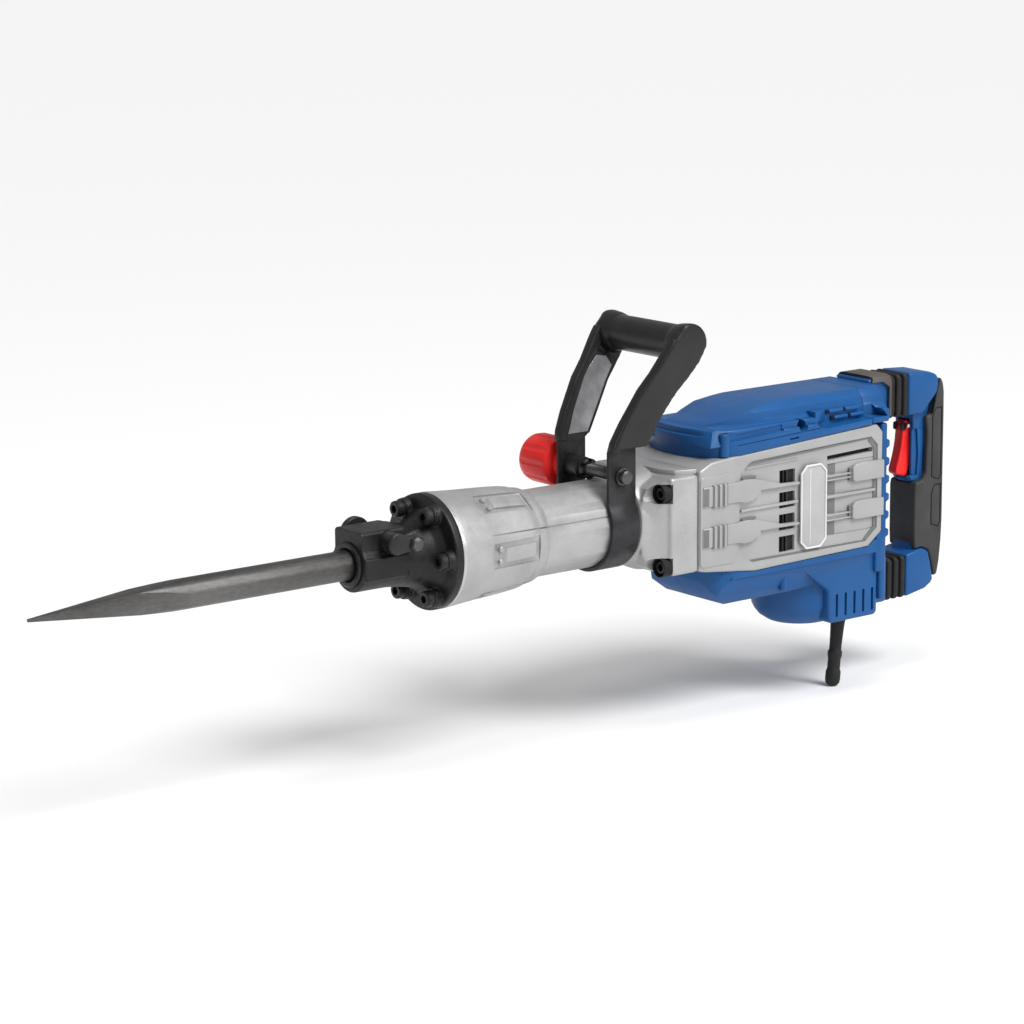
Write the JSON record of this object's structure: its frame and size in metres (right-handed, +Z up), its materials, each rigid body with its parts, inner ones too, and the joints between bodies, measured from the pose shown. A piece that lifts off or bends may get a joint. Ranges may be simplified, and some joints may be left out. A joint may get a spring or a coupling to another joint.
{
  "type": "electric demolition hammer",
  "caption": "Electric demolition hammer with a pointed chisel, turning side handle, motor housing and sprung rear D-handle with a trigger.",
  "frame": {"origin": "centre of the flat base of the bottom cover, under the motor's axis", "axes": "+X along the hammer axis from the chisel to the rear handle, +Y to the clamp knob's side, +Z up along the motor's axis"},
  "size_m": [1.1145, 0.167, 0.4183],
  "materials": {
    "black_iron": "satin black paint on cast iron",
    "steel": "ground and hardened",
    "dark_steel": "black oxide",
    "cast_silver": "satin silver casting",
    "blue_shell": "fine-textured moulding",
    "black_rubber": "matt",
    "grey_rubber": "matt",
    "black_plastic": "satin",
    "red_plastic": "satin gloss",
    "copper": "turned copper alloy",
    "pale_plastic": "satin"
  },
  "bodies": {
    "hammer": {"front_cover": "black_iron", "nose_bush": "steel", "cover_bolt_1": "dark_steel", "cover_bolt_2": "dark_steel", "cover_bolt_3": "dark_steel", "cover_bolt_4": "dark_steel", "cover_bolt_5": "dark_steel", "cover_bolt_6": "dark_steel", "barrel": "cast_silver", "cylinder_liner": "steel", "damper_ring": "black_rubber", "crank_bearing": "steel", "upper_bearing": "steel", "lower_bearing": "steel", "stator": "dark_steel", "brush_holder_left": "copper", "brush_holder_right": "copper", "brush_left": "black_rubber", "brush_right": "black_rubber", "gear_case": "cast_silver", "case_bolt_1": "dark_steel", "case_bolt_2": "dark_steel", "case_bolt_3": "dark_steel", "case_bolt_4": "dark_steel", "motor_housing": "cast_silver", "label_plate_left": "pale_plastic", "label_plate_right": "pale_plastic", "top_cover": "blue_shell", "bottom_cover": "blue_shell", "rear_cover": "blue_shell", "trim_band": "grey_rubber", "cord_guard": "black_rubber", "bellows_upper": "black_rubber", "bellows_lower": "black_rubber", "handle_spring_upper": "steel", "handle_spring_lower": "steel"},
    "chisel": {"chisel": "steel"},
    "retainer": {"retainer": "steel"},
    "impact_bolt": {"impact_bolt": "steel"},
    "striker": {"striker": "steel"},
    "piston": {"piston": "steel", "piston_pin": "steel"},
    "rod": {"connecting_rod": "dark_steel"},
    "crank": {"crank_shaft": "dark_steel", "crank_gear": "dark_steel"},
    "wheel": {"intermediate_gear": "dark_steel"},
    "armature": {"armature_shaft": "steel", "armature_core": "dark_steel", "commutator": "copper", "fan": "black_plastic"},
    "bail": {"clamp_strap": "dark_steel", "bail_grip": "black_plastic", "clamp_bolt": "dark_steel", "spacer_tube": "dark_steel"},
    "knob": {"clamp_knob": "red_plastic"},
    "handle": {"handle_shell": "blue_shell", "handle_grip": "black_rubber", "trigger_pin": "steel", "trigger_switch": "black_plastic"},
    "trigger": {"trigger": "red_plastic"}
  },
  "joints": [
    {"name": "chisel_slide", "type": "slide", "parent": "hammer", "child": "chisel", "axis": [-1, 0, 0], "range_m": [0, 0.022]},
    {"name": "retainer_turn", "type": "hinge", "parent": "hammer", "child": "retainer", "pos_m": [-0.546, 0, 0.162], "axis": [0, -1, 0], "range_deg": [0, 180]},
    {"name": "bail_turn", "type": "hinge", "parent": "hammer", "child": "bail", "pos_m": [-0.275, 0, 0.14], "axis": [1, 0, 0], "continuous": true},
    {"name": "knob_turn", "type": "hinge", "parent": "bail", "child": "knob", "pos_m": [-0.275, 0.076, 0.1925], "axis": [0, 1, 0], "continuous": true},
    {"name": "impact_bolt_slide", "type": "slide", "parent": "hammer", "child": "impact_bolt", "axis": [-1, 0, 0], "range_m": [0, 0.0075]},
    {"name": "striker_slide", "type": "slide", "parent": "hammer", "child": "striker", "axis": [-1, 0, 0], "range_m": [0, 0.022]},
    {"name": "piston_slide", "type": "slide", "parent": "hammer", "child": "piston", "axis": [1, 0, 0], "range_m": [0, 0.04]},
    {"name": "rod_swing", "type": "hinge", "parent": "piston", "child": "rod", "pos_m": [-0.272, 0, 0.14], "axis": [0, 0, 1], "range_deg": [-7.9, 7.9]},
    {"name": "armature_spin", "type": "hinge", "parent": "hammer", "child": "armature", "pos_m": [0, 0, 0.14], "axis": [0, 0, 1], "continuous": true},
    {"name": "wheel_spin", "type": "hinge", "parent": "hammer", "child": "wheel", "pos_m": [-0.04725, 0, 0.14], "axis": [0, 0, 1], "continuous": true},
    {"name": "crank_spin", "type": "hinge", "parent": "hammer", "child": "crank", "pos_m": [-0.10725, 0, 0.14], "axis": [0, 0, 1], "continuous": true},
    {"name": "handle_slide", "type": "slide", "parent": "hammer", "child": "handle", "axis": [-1, 0, 0], "range_m": [0, 0.008], "stiffness_N_per_m": 6000, "springref_m": -0.003, "deforming": ["bellows_upper", "bellows_lower", "handle_spring_upper", "handle_spring_lower"]},
    {"name": "trigger_pull", "type": "hinge", "parent": "handle", "child": "trigger", "pos_m": [0.148, 0, 0.188], "axis": [0, -1, 0], "range_deg": [0, 10], "stiffness_Nm_per_rad": 0.5, "springref_deg": -20.05}
  ],
  "couplings": [
    {"joint": "wheel_spin", "follows": "armature_spin", "ratio": -0.25581},
    {"joint": "crank_spin", "follows": "armature_spin", "ratio": 0.063953}
  ]
}
